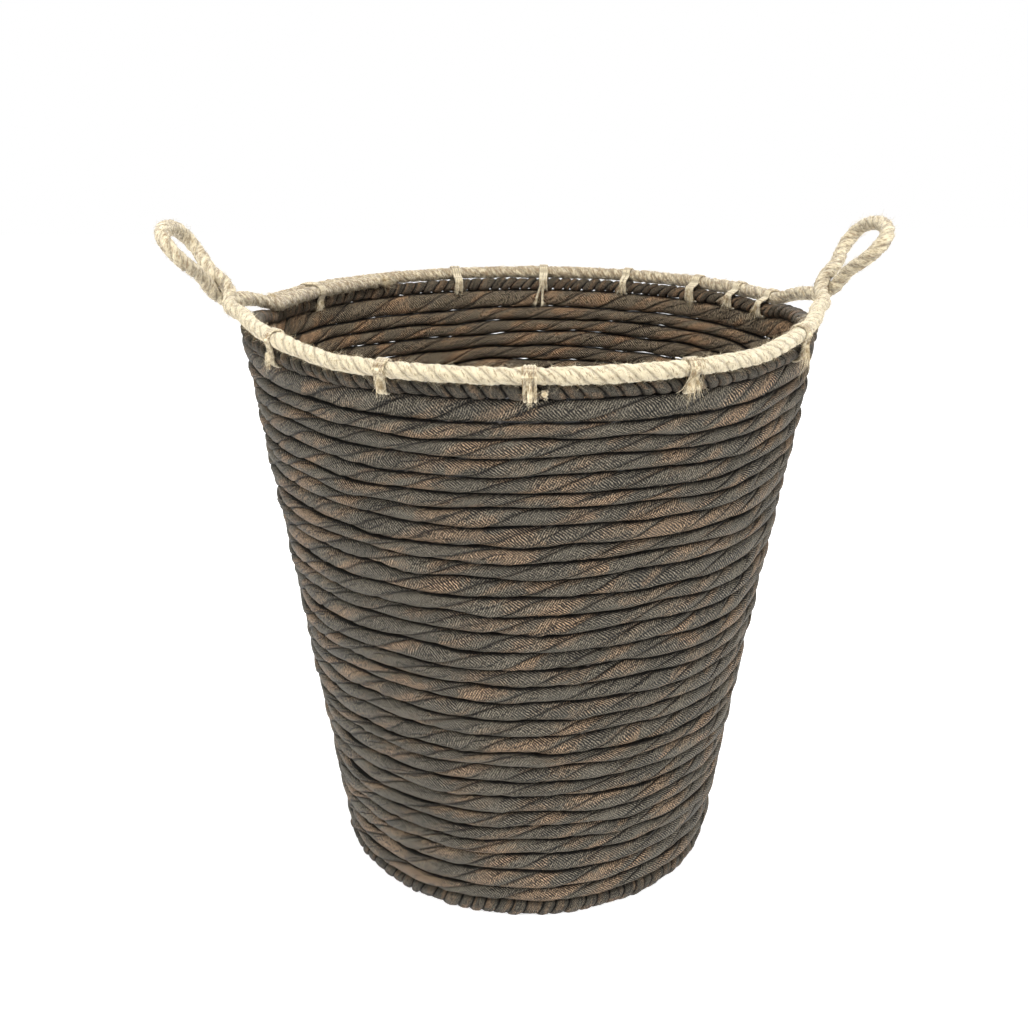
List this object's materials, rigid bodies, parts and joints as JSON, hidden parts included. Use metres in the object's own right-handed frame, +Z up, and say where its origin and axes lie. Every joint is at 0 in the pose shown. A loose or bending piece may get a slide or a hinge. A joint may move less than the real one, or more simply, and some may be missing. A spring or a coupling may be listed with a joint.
{
  "type": "wicker log basket",
  "caption": "Round tapered wicker log basket woven from twisted leaf rope, with a jute rope rim and two swinging rope loop handles.",
  "frame": {"origin": "centre of the round base, on the floor", "axes": "+Z up; the handles are on the X axis, left handle at -X; -Y is the front"},
  "size_m": [0.4932, 0.3978, 0.4586],
  "materials": {
    "frame_wire": "dull dark wire",
    "leaf_rope": "matt dyed leaf rope, grey brown",
    "edge_leaf": "matt dyed leaf strip",
    "jute_rope": "fuzzy natural jute rope",
    "jute_yarn": "fuzzy natural jute yarn"
  },
  "bodies": {
    "basket": {"rim_hoop": "frame_wire", "foot_hoop": "frame_wire", "base_star": "frame_wire", "upright_wires": "frame_wire", "base_row_01": "leaf_rope", "base_row_02": "leaf_rope", "base_row_03": "leaf_rope", "base_row_04": "leaf_rope", "base_row_05": "leaf_rope", "base_row_06": "leaf_rope", "base_row_07": "leaf_rope", "base_row_08": "leaf_rope", "base_row_09": "leaf_rope", "base_row_10": "leaf_rope", "weave_row_01": "leaf_rope", "weave_row_02": "leaf_rope", "weave_row_03": "leaf_rope", "weave_row_04": "leaf_rope", "weave_row_05": "leaf_rope", "weave_row_06": "leaf_rope", "weave_row_07": "leaf_rope", "weave_row_08": "leaf_rope", "weave_row_09": "leaf_rope", "weave_row_10": "leaf_rope", "weave_row_11": "leaf_rope", "weave_row_12": "leaf_rope", "weave_row_13": "leaf_rope", "weave_row_14": "leaf_rope", "weave_row_15": "leaf_rope", "weave_row_16": "leaf_rope", "weave_row_17": "leaf_rope", "weave_row_18": "leaf_rope", "weave_row_19": "leaf_rope", "weave_row_20": "leaf_rope", "weave_row_21": "leaf_rope", "weave_row_22": "leaf_rope", "weave_row_23": "leaf_rope", "weave_row_24": "leaf_rope", "weave_row_25": "leaf_rope", "weave_row_26": "leaf_rope", "weave_row_27": "leaf_rope", "weave_row_28": "leaf_rope", "weave_row_29": "leaf_rope", "weave_row_30": "leaf_rope", "foot_wrap": "edge_leaf", "rim_wrap": "edge_leaf", "rim_rope_front": "jute_rope", "rim_rope_back": "jute_rope", "rim_rope_tail": "jute_rope", "rim_ties": "jute_yarn"},
    "left_loop": {"left_handle": "jute_rope"},
    "right_loop": {"right_handle": "jute_rope"}
  },
  "joints": [
    {"name": "left_handle_swing", "type": "hinge", "parent": "basket", "child": "left_loop", "pos_m": [-0.2026, 0, 0.4052], "axis": [0, -1, 0], "range_deg": [-96, 138]},
    {"name": "right_handle_swing", "type": "hinge", "parent": "basket", "child": "right_loop", "pos_m": [0.2026, 0, 0.4052], "axis": [0, 1, 0], "range_deg": [-96, 138]}
  ]
}
